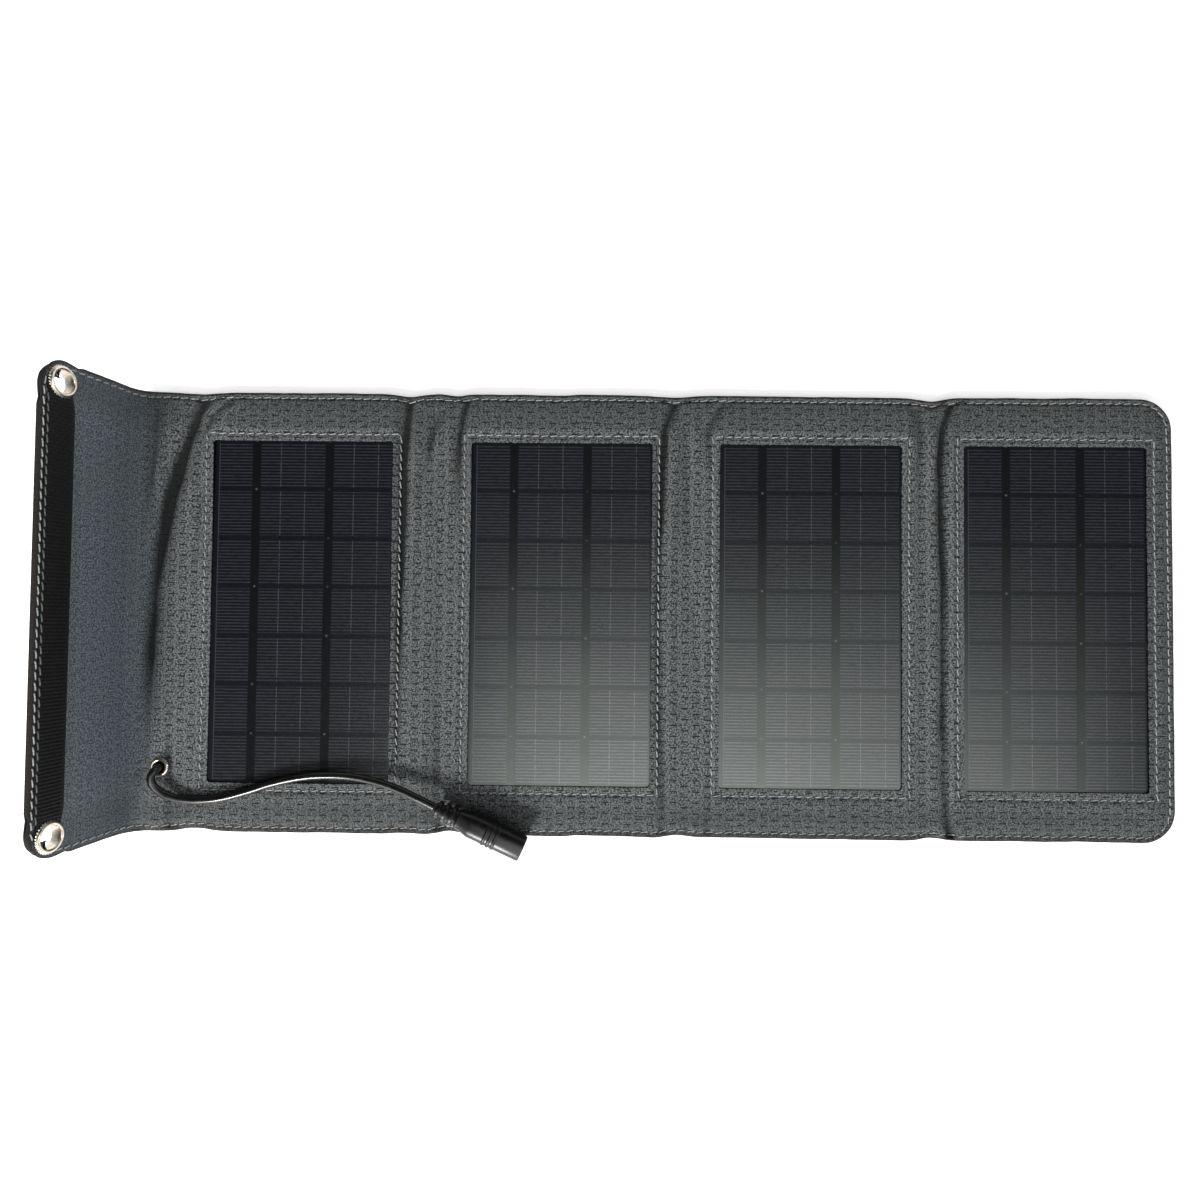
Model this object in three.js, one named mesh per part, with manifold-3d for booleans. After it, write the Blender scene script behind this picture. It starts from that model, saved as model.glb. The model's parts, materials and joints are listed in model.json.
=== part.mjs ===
// A folding camping solar panel, laid open: four laminates in one fabric cover, a closing flap
// with two hanging eyelets, and a short output cord. Millimetres, +Z up, +X along the sheet
// from the flap to the last panel, origin at the middle of the footprint on the ground.
import * as THREE from 'three';
import { mergeVertices } from 'three/addons/utils/BufferGeometryUtils.js';
import Module from 'manifold-3d';

const wasm = await Module();
wasm.setup();

// Driving dimensions
const windowWidth = 73;
const windowHeight = 138;
const windowRadius = 1.5;
const gapWidths = [31.5, 27.2, 24.7];
const flapMargin = 23.3;
const endMargin = 10.8;
const sheetHalfHeight = 89;
const sheetCornerRadius = 13;
const clearance = 0.3;

// Layers of a panel, from the ground up
const fabricThickness = 0.5;
const boardThickness = 0.5;
const cellThickness = 0.2;
const clearSheetThickness = 0.5;
const boardBase = fabricThickness + clearance;
const cellBase = boardBase + boardThickness + clearance;
const clearSheetBase = cellBase + cellThickness + clearance;
const frontBase = clearSheetBase + clearSheetThickness + clearance;
const panelThickness = frontBase + fabricThickness;
const laminateBorder = 5;
const laminateRadius = 2;
const boardMargin = 8;
const coverBorder = 6.5;
const hemWidth = 2.4;

// Solar cells
const cellRows = 7;
const cellGap = 0.7;
const cellWidth = 69.6;
const busPlaces = [-19.3, 10.3];
const busWidth = 3.2;
const busSink = 0.05;

// Closing flap
const flapBendRadius = 10.2;
const flapBendAngle = THREE.MathUtils.degToRad(81);
const flapStraight = 40;
const flapHinge = 24.5;
const flapSkin = 0.7;
const flapCornerRadius = 11;
const hookStripThickness = 1.2;
const hookStripWidth = 12.4;
const hookStripInset = 2;
const hookStripRadii = [7, 3];

// Hanging eyelets
const eyeletBore = 4.4;
const eyeletWall = 0.4;
const eyeletFlange = 6.5;
const eyeletLip = 0.9;
const eyeletInset = 8.6;
const eyeletOffset = 81;

// Output cord and its socket
const cordRadius = 1.55;
const cordEyeletBore = 2.2;
const cordEyeletFlange = 3.7;
const cordEyeletPlace = new THREE.Vector2(-192, -63);
const plugStart = new THREE.Vector3(-80.1, -76.45, 8.7);
const plugAngle = THREE.MathUtils.degToRad(-24.5);
const bootLength = 9.6;
const plugEnd = 38;
const plugRadius = 5;
const cordRoute = [
  [-192.0, -63.0, 1.6],
  [-192.0, -63.2, 4.6],
  [-192.6, -64.3, 6.7],
  [-193.3, -66.7, 7.3],
  [-192.6, -69.8, 6.6],
  [-189.8, -72.6, 5.7],
  [-184.6, -74.7, 5.3],
  [-176.3, -75.6, 5.2],
  [-166.4, -74.7, 5.2],
  [-156.6, -72.1, 5.2],
  [-145.8, -68.6, 5.2],
  [-134.9, -66.2, 5.2],
  [-125.5, -65.3, 5.4],
  [-115.0, -65.4, 6.0],
  [-105.9, -66.7, 6.9],
  [-96.9, -69.1, 7.8],
  [-88.3, -72.6, 8.5],
  [-80.4, -76.3, 8.7],
];

// Places worked out along the sheet
const panelCount = 4;
const flapRun = flapBendRadius * Math.sin(flapBendAngle) + flapStraight * Math.cos(flapBendAngle);
const gapTotal = gapWidths.reduce((total, gap) => total + gap, 0);
const sheetLength = flapMargin + panelCount * windowWidth + gapTotal + endMargin;
const rightEdge = (flapRun + sheetLength) / 2;
const bendStart = rightEdge - sheetLength;
const panels = [];
const folds = [];
let windowLeft = bendStart + flapMargin;
for (let i = 0; i < panelCount; i++) {
  panels.push({ number: i + 1, centre: windowLeft + windowWidth / 2 });
  windowLeft += windowWidth;
  if (i < panelCount - 1) {
    folds.push({ label: `${i + 1}_${i + 2}`, x: windowLeft + gapWidths[i] / 2, gap: gapWidths[i] });
    windowLeft += gapWidths[i];
  }
}

const object = new THREE.Group();

function finish(colour, roughness, metalness = 0) {
  return new THREE.MeshStandardMaterial({ color: colour, roughness, metalness });
}

const fabricFinish = () => finish(0x3a4143, 0.9);
const backFinish = () => finish(0x1b1c1d, 0.9);
const laminateFinish = () => finish(0x10141c, 0.35);
const nickelFinish = () => finish(0xb9b4a8, 0.3, 1);
const rubberFinish = () => finish(0x0c0c0d, 0.45);

function add(name, geometry, material, parent = object) {
  const mesh = new THREE.Mesh(geometry, material);
  mesh.name = name;
  parent.add(mesh);
  return mesh;
}

// Joining and cutting closed geometries
function solid(geometry) {
  const bare = geometry.clone();
  bare.deleteAttribute('normal');
  bare.deleteAttribute('uv');
  const merged = mergeVertices(bare, 1e-5);
  return new wasm.Manifold(new wasm.Mesh({
    numProp: 3,
    vertProperties: Float32Array.from(merged.attributes.position.array),
    triVerts: Uint32Array.from(merged.index.array),
  }));
}

function geometryOf(manifold) {
  const mesh = manifold.getMesh();
  const geometry = new THREE.BufferGeometry();
  geometry.setAttribute('position', new THREE.BufferAttribute(mesh.vertProperties, 3));
  geometry.setIndex(new THREE.BufferAttribute(mesh.triVerts, 1));
  return geometry;
}

// A rectangle whose two corners on the high-X side, or all four, are rounded
function outline(x0, x1, halfHeight, highRadius = 0, lowRadius = 0) {
  const shape = new THREE.Shape();
  shape.moveTo(x0 + lowRadius, -halfHeight);
  shape.lineTo(x1 - highRadius, -halfHeight);
  if (highRadius) shape.absarc(x1 - highRadius, highRadius - halfHeight, highRadius, -Math.PI / 2, 0);
  shape.lineTo(x1, halfHeight - highRadius);
  if (highRadius) shape.absarc(x1 - highRadius, halfHeight - highRadius, highRadius, 0, Math.PI / 2);
  shape.lineTo(x0 + lowRadius, halfHeight);
  if (lowRadius) shape.absarc(x0 + lowRadius, halfHeight - lowRadius, lowRadius, Math.PI / 2, Math.PI);
  shape.lineTo(x0, lowRadius - halfHeight);
  if (lowRadius) shape.absarc(x0 + lowRadius, lowRadius - halfHeight, lowRadius, Math.PI, Math.PI * 1.5);
  return shape;
}

function plate(shape, zLow, zHigh) {
  const geometry = new THREE.ExtrudeGeometry(shape, {
    depth: zHigh - zLow,
    bevelEnabled: false,
    curveSegments: 8,
  });
  return geometry.translate(0, 0, zLow);
}

function box(x0, x1, y0, y1, z0, z1) {
  const geometry = new THREE.BoxGeometry(x1 - x0, y1 - y0, z1 - z0);
  return geometry.translate((x0 + x1) / 2, (y0 + y1) / 2, (z0 + z1) / 2);
}

function roundHole(x, y, radius) {
  const hole = new THREE.Path();
  hole.absarc(x, y, radius, 0, Math.PI * 2, true);
  return hole;
}

function ringGeometry(profile, segments = 32) {
  const points = profile.map(([radius, height]) => new THREE.Vector2(radius, height));
  return new THREE.LatheGeometry(points, segments).rotateX(Math.PI / 2);
}

// The front fabric of one stretch of the sheet, with the hem turned down along its open edges
function frontFabric(x0, x1, highRadius = 0, holes = []) {
  const shape = outline(x0, x1, sheetHalfHeight, highRadius);
  shape.holes.push(...holes);
  const inside = highRadius
    ? outline(x0 - 1, x1 - hemWidth, sheetHalfHeight - hemWidth, highRadius - hemWidth)
    : outline(x0 - 1, x1 + 1, sheetHalfHeight - hemWidth);
  const hem = solid(plate(outline(x0, x1, sheetHalfHeight, highRadius), boardBase, panelThickness))
    .subtract(solid(plate(inside, 0, panelThickness + 1)));
  const skin = solid(plate(shape, frontBase, panelThickness));
  const edges = [skin];
  for (const edge of hem.decompose()) edges.push(edge);
  return geometryOf(edges.reduce((whole, piece) => whole.add(piece)));
}

function windowHole(centre) {
  const hole = new THREE.Path();
  const points = outline(centre - windowWidth / 2, centre + windowWidth / 2, windowHeight / 2,
    windowRadius, windowRadius).getPoints(3);
  hole.setFromPoints(points.reverse());
  return hole;
}

// Seven cells joined by two bus ribbons
function cellString(centre) {
  const pitch = windowHeight / cellRows;
  const left = centre - cellWidth / 2;
  let string = null;
  for (let row = 0; row < cellRows; row++) {
    const low = row * pitch - windowHeight / 2 + cellGap / 2;
    const cell = solid(box(left, left + cellWidth, low, low + pitch - cellGap,
      cellBase, cellBase + cellThickness));
    string = string ? string.add(cell) : cell;
  }
  const reach = windowHeight / 2 - cellGap;
  for (const place of busPlaces) {
    const low = centre + place - busWidth / 2;
    string = string.add(solid(box(low, low + busWidth, -reach, reach,
      cellBase + busSink, cellBase + cellThickness - busSink)));
  }
  return geometryOf(string);
}

// Panels
const loopStripPlace = { x0: rightEdge - 14.5, x1: rightEdge - 2.5, half: 70 };

function buildPanel({ number, centre }) {
  const half = windowWidth / 2 + coverBorder;
  const x0 = number === 1 ? bendStart + clearance / 2 : centre - half;
  const x1 = number === 4 ? rightEdge : centre + half;
  const radius = number === 4 ? sheetCornerRadius : 0;
  const backShape = outline(x0, x1, sheetHalfHeight, radius);
  const holes = [windowHole(centre)];
  if (number === 1) {
    holes.push(roundHole(cordEyeletPlace.x, cordEyeletPlace.y, cordEyeletBore + eyeletWall + clearance));
  }
  if (number === 4) {
    const { x0: low, x1: high, half: reach } = loopStripPlace;
    const slot = outline(low - clearance, high + clearance, reach + clearance).getPoints();
    backShape.holes.push(new THREE.Path().setFromPoints(slot.reverse()));
  }
  const border = windowWidth / 2 + laminateBorder;
  const reach = windowHeight / 2 + laminateBorder;
  add(`back_cover_${number}`, plate(backShape, 0, fabricThickness), backFinish());
  add(`backing_board_${number}`,
    box(centre - border, centre + border, -reach - boardMargin, reach + boardMargin,
      boardBase, boardBase + boardThickness),
    finish(0x6f6a5c, 0.8));
  add(`cell_string_${number}`, cellString(centre), finish(0x0b0f1c, 0.4));
  add(`clear_sheet_${number}`,
    plate(outline(centre - border, centre + border, reach, laminateRadius, laminateRadius),
      clearSheetBase, clearSheetBase + clearSheetThickness),
    laminateFinish());
  add(`front_cover_${number}`, frontFabric(x0, x1, radius, holes), fabricFinish());
}

panels.forEach(buildPanel);

add('loop_strip',
  box(loopStripPlace.x0, loopStripPlace.x1, -loopStripPlace.half, loopStripPlace.half, 0, fabricThickness),
  finish(0x151515, 1));

// Fabric webs between the panels, with the flat lead that joins neighbouring cell strings
const leadHalfHeight = 4;
const leadPlace = -55;

for (const { label, x, gap } of folds) {
  const webHalf = gap / 2 - coverBorder - clearance;
  const leadHalf = gap / 2 - laminateBorder - clearance;
  add(`front_web_${label}`, frontFabric(x - webHalf, x + webHalf), fabricFinish());
  add(`back_web_${label}`, plate(outline(x - webHalf, x + webHalf, sheetHalfHeight), 0, fabricThickness),
    backFinish());
  add(`flat_lead_${label}`,
    box(x - leadHalf, x + leadHalf, leadPlace - leadHalfHeight, leadPlace + leadHalfHeight,
      cellBase, cellBase + cellThickness),
    finish(0xb06a3a, 0.4, 1));
}

// The lead-out beside the first panel: a small board, its diode and the inner lead
const junction = { x0: -187, x1: -179.5, y0: -50, y1: -34, thickness: 0.6 };
const diode = { x0: -185.5, x1: -181, y0: -46, y1: -40 };
const junctionTop = boardBase + junction.thickness;
add('junction_board', box(junction.x0, junction.x1, junction.y0, junction.y1, boardBase, junctionTop),
  finish(0x1d4a2c, 0.6));
add('blocking_diode',
  box(diode.x0, diode.x1, diode.y0, diode.y1, junctionTop + clearance, frontBase - clearance),
  finish(0x0d0d0e, 0.5));
const innerLeadRadius = 0.7;
const innerLead = new THREE.CatmullRomCurve3([
  new THREE.Vector3(-191.6, -59.8, 1.6),
  new THREE.Vector3(-190.4, -56.2, 1.6),
  new THREE.Vector3(-187.6, -52.6, 1.6),
  new THREE.Vector3(-184.4, -50.7, 1.6),
], false, 'centripetal');
add('inner_lead', tube(innerLead, innerLeadRadius, 8, 8), rubberFinish());

function tube(curve, radius, steps, sides) {
  const section = new THREE.Shape();
  for (let i = 0; i < sides; i++) {
    const angle = (i / sides) * Math.PI * 2;
    const [across, up] = [radius * Math.cos(angle), radius * Math.sin(angle)];
    if (i === 0) section.moveTo(across, up);
    else section.lineTo(across, up);
  }
  return new THREE.ExtrudeGeometry(section, { extrudePath: curve, steps, bevelEnabled: false });
}

// Closing flap: a curved bend next to the first panel, then two flat lengths
function bendSkin(innerRadius, outerRadius) {
  const steps = 10;
  const margin = clearance / 2 / outerRadius;
  const profile = [];
  for (const [radius, order] of [[outerRadius, 1], [innerRadius, -1]]) {
    for (let i = 0; i <= steps; i++) {
      const share = order > 0 ? i / steps : 1 - i / steps;
      const angle = margin + share * (flapBendAngle - 2 * margin);
      profile.push(new THREE.Vector2(
        bendStart - radius * Math.sin(angle), flapBendRadius - radius * Math.cos(angle)));
    }
  }
  const geometry = new THREE.ExtrudeGeometry(new THREE.Shape(profile), {
    depth: 2 * sheetHalfHeight,
    bevelEnabled: false,
  });
  return geometry.rotateX(Math.PI / 2).translate(0, sheetHalfHeight, 0);
}

const skinBases = { back: 0, front: flapSkin + clearance };
for (const [side, base] of Object.entries(skinBases)) {
  const material = side === 'front' ? fabricFinish() : backFinish();
  add(`flap_bend_${side}`, bendSkin(flapBendRadius - base - flapSkin, flapBendRadius - base), material);
}

const flap = new THREE.Group();
const alongFlap = new THREE.Vector3(-Math.cos(flapBendAngle), 0, Math.sin(flapBendAngle));
const flapNormal = new THREE.Vector3(Math.sin(flapBendAngle), 0, Math.cos(flapBendAngle));
const acrossFlap = new THREE.Vector3().crossVectors(flapNormal, alongFlap);
flap.quaternion.setFromRotationMatrix(new THREE.Matrix4().makeBasis(alongFlap, acrossFlap, flapNormal));
flap.position.set(bendStart, 0, flapBendRadius).addScaledVector(flapNormal, -flapBendRadius);
object.add(flap);

const eyeletPlaces = { upper: -eyeletOffset, lower: eyeletOffset };
const eyeletAlong = flapStraight - eyeletInset;

function punched(shape) {
  for (const y of Object.values(eyeletPlaces)) {
    shape.holes.push(roundHole(eyeletAlong, y, eyeletBore + eyeletWall + clearance));
  }
  return shape;
}

for (const [side, base] of Object.entries(skinBases)) {
  const material = () => (side === 'front' ? fabricFinish() : backFinish());
  const spine = outline(clearance / 2, flapHinge - clearance / 2, sheetHalfHeight);
  const tip = outline(flapHinge + clearance / 2, flapStraight, sheetHalfHeight, flapCornerRadius);
  add(`flap_spine_${side}`, plate(spine, base, base + flapSkin), material(), flap);
  add(`flap_tip_${side}`, plate(punched(tip), base, base + flapSkin), material(), flap);
}

const hookBase = skinBases.front + flapSkin + clearance;
const hookEnd = flapStraight - hookStripInset;
const hookShape = punched(outline(
  hookEnd - hookStripWidth, hookEnd, sheetHalfHeight - hookStripInset, ...hookStripRadii));
add('hook_strip', plate(hookShape, hookBase, hookBase + hookStripThickness), finish(0x0a0a0a, 1), flap);

// Each hanging eyelet is a grommet from the front and a washer behind
const grommetTop = hookBase + hookStripThickness + clearance;
const barrel = eyeletBore + eyeletWall;
for (const [place, y] of Object.entries(eyeletPlaces)) {
  const grommet = ringGeometry([
    [eyeletBore, -clearance - eyeletLip],
    [barrel, -clearance - eyeletLip],
    [barrel, grommetTop],
    [eyeletFlange, grommetTop],
    [eyeletFlange - 0.3, grommetTop + eyeletLip * 0.7],
    [eyeletFlange - 0.8, grommetTop + eyeletLip],
    [eyeletBore + 0.5, grommetTop + eyeletLip],
    [eyeletBore, grommetTop + eyeletLip * 0.6],
    [eyeletBore, -clearance - eyeletLip],
  ]);
  const washer = ringGeometry([
    [barrel + clearance, -clearance - eyeletLip],
    [eyeletFlange, -clearance - eyeletLip * 0.7],
    [eyeletFlange, -clearance],
    [barrel + clearance, -clearance],
    [barrel + clearance, -clearance - eyeletLip],
  ]);
  add(`hanging_eyelet_${place}`, grommet, nickelFinish(), flap).position.set(eyeletAlong, y, 0);
  add(`hanging_washer_${place}`, washer, nickelFinish(), flap).position.set(eyeletAlong, y, 0);
}

// Cord eyelet, cord and socket
const cordBarrel = cordEyeletBore + eyeletWall;
const cordEyelet = ringGeometry([
  [cordEyeletBore, boardBase],
  [cordBarrel, boardBase],
  [cordBarrel, panelThickness + clearance],
  [cordEyeletFlange, panelThickness + clearance],
  [cordEyeletFlange - 0.5, panelThickness + 1.0],
  [cordEyeletBore + 0.4, panelThickness + 1.0],
  [cordEyeletBore, panelThickness + 0.6],
  [cordEyeletBore, boardBase],
], 24);
add('cord_eyelet', cordEyelet, nickelFinish()).position.set(cordEyeletPlace.x, cordEyeletPlace.y, 0);

const cordCurve = new THREE.CatmullRomCurve3(
  cordRoute.map((point) => new THREE.Vector3(...point)), false, 'centripetal');
const cordSteps = 44;
add('output_cord', tube(cordCurve, cordRadius, cordSteps, 8), rubberFinish());

// The socket's local X runs along its axis, from the cord to the open end
const socket = new THREE.Group();
socket.position.copy(plugStart);
socket.rotation.z = plugAngle;
object.add(socket);

function turned(profile, segments = 24) {
  const points = profile.map(([along, radius]) => new THREE.Vector2(radius, along));
  return new THREE.LatheGeometry(points, segments).rotateZ(-Math.PI / 2);
}

const bootProfile = [[0, 0], [0, 2.3]];
for (let rib = 0; rib < 3; rib++) {
  const start = 0.6 + rib * 3;
  const core = 2.5 + rib * 0.45;
  bootProfile.push([start, core], [start + 0.3, core + 1]);
  bootProfile.push([start + 1.8, core + 1.1], [start + 2.1, core + 0.1]);
}
bootProfile.push([bootLength, 3.5], [bootLength, 0]);
add('cord_boot', turned(bootProfile), rubberFinish(), socket);

const bodyStart = bootLength + clearance;
const socketRadius = 3.3;
const socketDepth = 11;
const plugBody = turned([
  [bodyStart, 0],
  [bodyStart, 3.9],
  [bodyStart + 3.5, plugRadius - 0.2],
  [bodyStart + 5, plugRadius],
  [plugEnd - 0.6, plugRadius],
  [plugEnd, plugRadius - 0.6],
  [plugEnd, socketRadius],
  [plugEnd - socketDepth, socketRadius],
  [plugEnd - socketDepth, 0],
]);
add('plug_body', plugBody, rubberFinish(), socket);
const sleeveOuter = socketRadius - clearance;
const sleeveInner = 2.75;
const sleeve = turned([
  [plugEnd - socketDepth + clearance, sleeveInner],
  [plugEnd - socketDepth + clearance, sleeveOuter],
  [plugEnd - 0.5, sleeveOuter],
  [plugEnd - 0.5, sleeveInner],
  [plugEnd - socketDepth + clearance, sleeveInner],
]);
add('socket_sleeve', sleeve, nickelFinish(), socket);
const pinRadius = 1.05;
add('centre_pin', turned([
  [plugEnd - socketDepth + clearance, 0],
  [plugEnd - socketDepth + clearance, pinRadius],
  [plugEnd - 2, pinRadius],
  [plugEnd - 1.5, 0],
]), nickelFinish(), socket);

export default object;
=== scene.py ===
import json
import math
from functools import partialmethod

import bpy
import numpy as np
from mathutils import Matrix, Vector


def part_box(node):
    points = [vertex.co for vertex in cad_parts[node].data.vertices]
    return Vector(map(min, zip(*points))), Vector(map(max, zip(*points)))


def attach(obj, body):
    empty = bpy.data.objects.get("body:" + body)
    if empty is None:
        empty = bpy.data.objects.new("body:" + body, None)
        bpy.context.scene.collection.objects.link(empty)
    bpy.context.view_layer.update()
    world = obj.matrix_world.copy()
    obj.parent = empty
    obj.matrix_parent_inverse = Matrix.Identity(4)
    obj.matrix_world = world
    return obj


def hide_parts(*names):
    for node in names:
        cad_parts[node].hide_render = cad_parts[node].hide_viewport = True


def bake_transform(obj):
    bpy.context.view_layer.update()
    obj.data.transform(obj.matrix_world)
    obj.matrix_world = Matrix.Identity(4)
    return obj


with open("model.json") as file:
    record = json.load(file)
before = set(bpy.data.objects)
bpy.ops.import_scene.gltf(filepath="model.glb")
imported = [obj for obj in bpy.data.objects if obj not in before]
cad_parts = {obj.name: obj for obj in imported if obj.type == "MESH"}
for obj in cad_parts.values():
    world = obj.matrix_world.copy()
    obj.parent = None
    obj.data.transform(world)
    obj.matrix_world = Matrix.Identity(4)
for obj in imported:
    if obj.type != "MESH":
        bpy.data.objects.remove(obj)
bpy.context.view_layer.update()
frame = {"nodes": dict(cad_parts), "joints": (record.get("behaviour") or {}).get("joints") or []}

# Everything below is worked out in millimetres and turned into metres when a mesh is made.
MM = 0.001


def node_box(name):
    low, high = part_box(name)
    return low / MM, high / MM


def joint_place(name):
    return Vector(next(j["pos_m"] for j in frame["joints"] if j["name"] == name)) / MM


# Places from the frame
PANELS = (1, 2, 3, 4)
LAMINATE = {n: node_box(f"clear_sheet_{n}") for n in PANELS}
CENTRE = {n: (low.x + high.x) / 2 for n, (low, high) in LAMINATE.items()}
FOLD = {n: joint_place(f"fold_{n}_{n + 1}").x for n in PANELS[:-1]}
WEB_HALF = {n: node_box(f"front_web_{n}_{n + 1}")[1].x - FOLD[n] for n in FOLD}
SHEET_TOP = node_box("front_cover_2")[1].z
HALF = node_box("front_cover_2")[1].y
RIGHT = node_box("front_cover_4")[1].x
BEND = joint_place("flap_fold").x
BOARD_HALF = node_box("backing_board_2")[1].y
LAMINATE_BORDER = 5.0
LAMINATE_TOP = LAMINATE[1][1].z
LAMINATE_HALF = LAMINATE[1][1].y
LAMINATE_UNDER = 2.0
WINDOW_HALF_X = (LAMINATE[1][1].x - LAMINATE[1][0].x) / 2 - LAMINATE_BORDER
WINDOW_HALF_Y = LAMINATE_HALF - LAMINATE_BORDER
WINDOW_RADIUS = 1.5
SHEET_CORNER = 13.0

# The flap: an arc next to the first panel, then a straight length
FLAP_RADIUS = 10.2
FLAP_ANGLE = math.radians(81)
FLAP_STRAIGHT = 40.0
FLAP_CORNER = 11.0
FLAP_THICK = 1.75
FLAP_ARC = FLAP_RADIUS * FLAP_ANGLE
TIP = BEND - FLAP_ARC - FLAP_STRAIGHT
HOOK_BASE = 1.8
HOOK_LOW, HOOK_HIGH = 25.6, 38.0
HOOK_RADII = (7.0, 3.0)
EYELET_ALONG = 31.4
EYELET_ACROSS = 81.0
EYELET_HOLE = 5.0

# The cells: bus bands and fingers, from the window's middle
CELL_ROWS = 7
BUS_PLACES = (-19.3, 10.3)
FINGER_PITCH = 1.27

# The cord, its eyelet and its socket
CORD_EYELET = Vector((-192.0, -63.0, 0))
CORD_HOLE = 2.9
CORD_RADIUS = 1.55
PLUG_START = Vector((-80.1, -76.45, 8.7))
PLUG_ANGLE = math.radians(-24.5)
PLUG_END = 38.0
BOOT_LENGTH = 9.6
CORD_ROUTE = [
    (-192.0, -63.0, 1.6),
    (-192.0, -63.2, 4.6),
    (-192.6, -64.3, 6.7),
    (-193.3, -66.7, 7.3),
    (-192.6, -69.8, 6.6),
    (-189.8, -72.6, 5.7),
    (-184.6, -74.7, 5.3),
    (-176.3, -75.6, 5.2),
    (-166.4, -74.7, 5.2),
    (-156.6, -72.1, 5.2),
    (-145.8, -68.6, 5.2),
    (-134.9, -66.2, 5.2),
    (-125.5, -65.3, 5.4),
    (-115.0, -65.4, 6.0),
    (-105.9, -66.7, 6.9),
    (-96.9, -69.1, 7.8),
    (-88.3, -72.6, 8.5),
    (-80.4, -76.3, 8.7),
]

# Cloth
CLOTH = 0.45
HEM_LOW = 0.75
HEM_ROLL = 1.5
HEM_STITCH = 2.4
FLAP_STITCH = 1.5
WINDOW_STITCH = 2.8
STITCH_PITCH = 3.7
TURN = 2 * math.pi
UV_NAME = "cloth"


# ---- meshes

def smooth(value, low, high):
    """0 below low, 1 above high, and an S between them."""
    t = np.clip((value - low) / (high - low), 0, 1)
    return t * t * (3 - 2 * t)


def around(count):
    """Angles evenly round a turn."""
    return np.arange(count) / count * TURN


def new_object(name, skin, material, flat_angle=40):
    """A mesh object from a skin: its points in millimetres and its faces."""
    points, faces = skin
    mesh = bpy.data.meshes.new(name)
    mesh.from_pydata((np.asarray(points, float) * MM).tolist(), [], [list(f) for f in faces])
    mesh.polygons.foreach_set("use_smooth", [True] * len(mesh.polygons))
    mesh.set_sharp_from_angle(angle=math.radians(flat_angle))
    mesh.materials.append(material)
    mesh.update()
    piece = bpy.data.objects.new(name, mesh)
    bpy.context.scene.collection.objects.link(piece)
    return piece


def add_uv(piece, places):
    """A UV map in millimetres, from one pair of numbers for each vertex."""
    layer = piece.data.uv_layers.new(name=UV_NAME)
    corner = np.zeros(len(piece.data.loops), int)
    piece.data.loops.foreach_get("vertex_index", corner)
    layer.data.foreach_set("uv", np.asarray(places, np.float32)[corner].ravel())


def add_number(piece, name, values):
    """A number for each vertex, for the material to read."""
    attribute = piece.data.attributes.new(name, "FLOAT", "POINT")
    attribute.data.foreach_set("value", np.asarray(values, np.float32))


def hand_in(piece, slot, body, *nodes):
    """Hides the CAD nodes that a piece stands for and attaches it to the body it rides on. The slot is not
    used.
    """
    if nodes:
        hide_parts(*nodes)
    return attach(piece, body)


def spline(points, per_span):
    """Centripetal Catmull-Rom points through a given route."""
    p = [np.array(q, float) for q in points]
    p = [2 * p[0] - p[1], *p, 2 * p[-1] - p[-2]]
    made = []
    for a, b, c, d in zip(p, p[1:], p[2:], p[3:]):
        t1 = np.linalg.norm(b - a) ** 0.5
        t2 = t1 + np.linalg.norm(c - b) ** 0.5
        t3 = t2 + np.linalg.norm(d - c) ** 0.5
        for t in np.linspace(t1, t2, per_span, endpoint=False):
            ab = a + (b - a) * t / t1
            bc = b + (c - b) * (t - t1) / (t2 - t1)
            cd = c + (d - c) * (t - t2) / (t3 - t2)
            abc = ab + (bc - ab) * t / t2
            bcd = bc + (cd - bc) * (t - t1) / (t3 - t1)
            made.append(abc + (bcd - abc) * (t - t1) / (t2 - t1))
    made.append(p[-2])
    return np.array(made)


def rings_mesh(rings):
    """Points and faces of a closed skin over rings of equal size, capped at both ends."""
    count, sides = len(rings), len(rings[0])
    points = np.concatenate(rings)
    faces = [
        (i + j, i + (j + 1) % sides, i + sides + (j + 1) % sides, i + sides + j)
        for i in range(0, (count - 1) * sides, sides)
        for j in range(sides)
    ]
    faces.append(tuple(reversed(range(sides))))
    faces.append(tuple((count - 1) * sides + j for j in range(sides)))
    return points, faces


def sweep(centres, radii, sides):
    """Rings round a line, turned as little as possible from one to the next."""
    tangents = np.gradient(centres, axis=0)
    tangents /= np.linalg.norm(tangents, axis=1)[:, None]
    side = np.cross(tangents[0], (0, 0, 1) if abs(tangents[0][2]) < 0.9 else (0, 1, 0))
    rings = []
    cos, sin = np.cos(around(sides)), np.sin(around(sides))
    for centre, tangent, radius in zip(centres, tangents, radii):
        side = side - tangent * (side @ tangent)
        side /= np.linalg.norm(side)
        rings.append(centre + radius * (np.outer(cos, -side) + np.outer(sin, np.cross(tangent, side))))
    return rings


def lathe(name, profile, place, axis, material, segments=96, teeth=None):
    """A closed ring of a profile of (radius, height), turned about an axis through a place.

    Teeth are given as (how many, beyond which radius, how deep).
    """
    axis = Vector(axis).normalized()
    first = axis.orthogonal().normalized()
    second = axis.cross(first)
    points = []
    for angle in around(segments):
        out = first * math.cos(angle) + second * math.sin(angle)
        for radius, height in profile:
            if teeth and radius > teeth[1]:
                radius -= teeth[2] * (0.5 + 0.5 * math.cos(angle * teeth[0]))
            points.append(place + out * radius + axis * height)
    size = len(profile)
    faces = [
        (i + j, k + j, k + (j + 1) % size, i + (j + 1) % size)
        for i, k in ((n * size, (n + 1) % segments * size) for n in range(segments))
        for j in range(size)
    ]
    return new_object(name, (points, faces), material, 50)


def joined(parts):
    """Points and faces of several closed skins as one mesh."""
    points, faces, base = [], [], 0
    for some, their_faces in parts:
        points.append(some)
        faces += [tuple(base + i for i in f) for f in their_faces]
        base += len(some)
    return np.concatenate(points), faces


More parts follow.
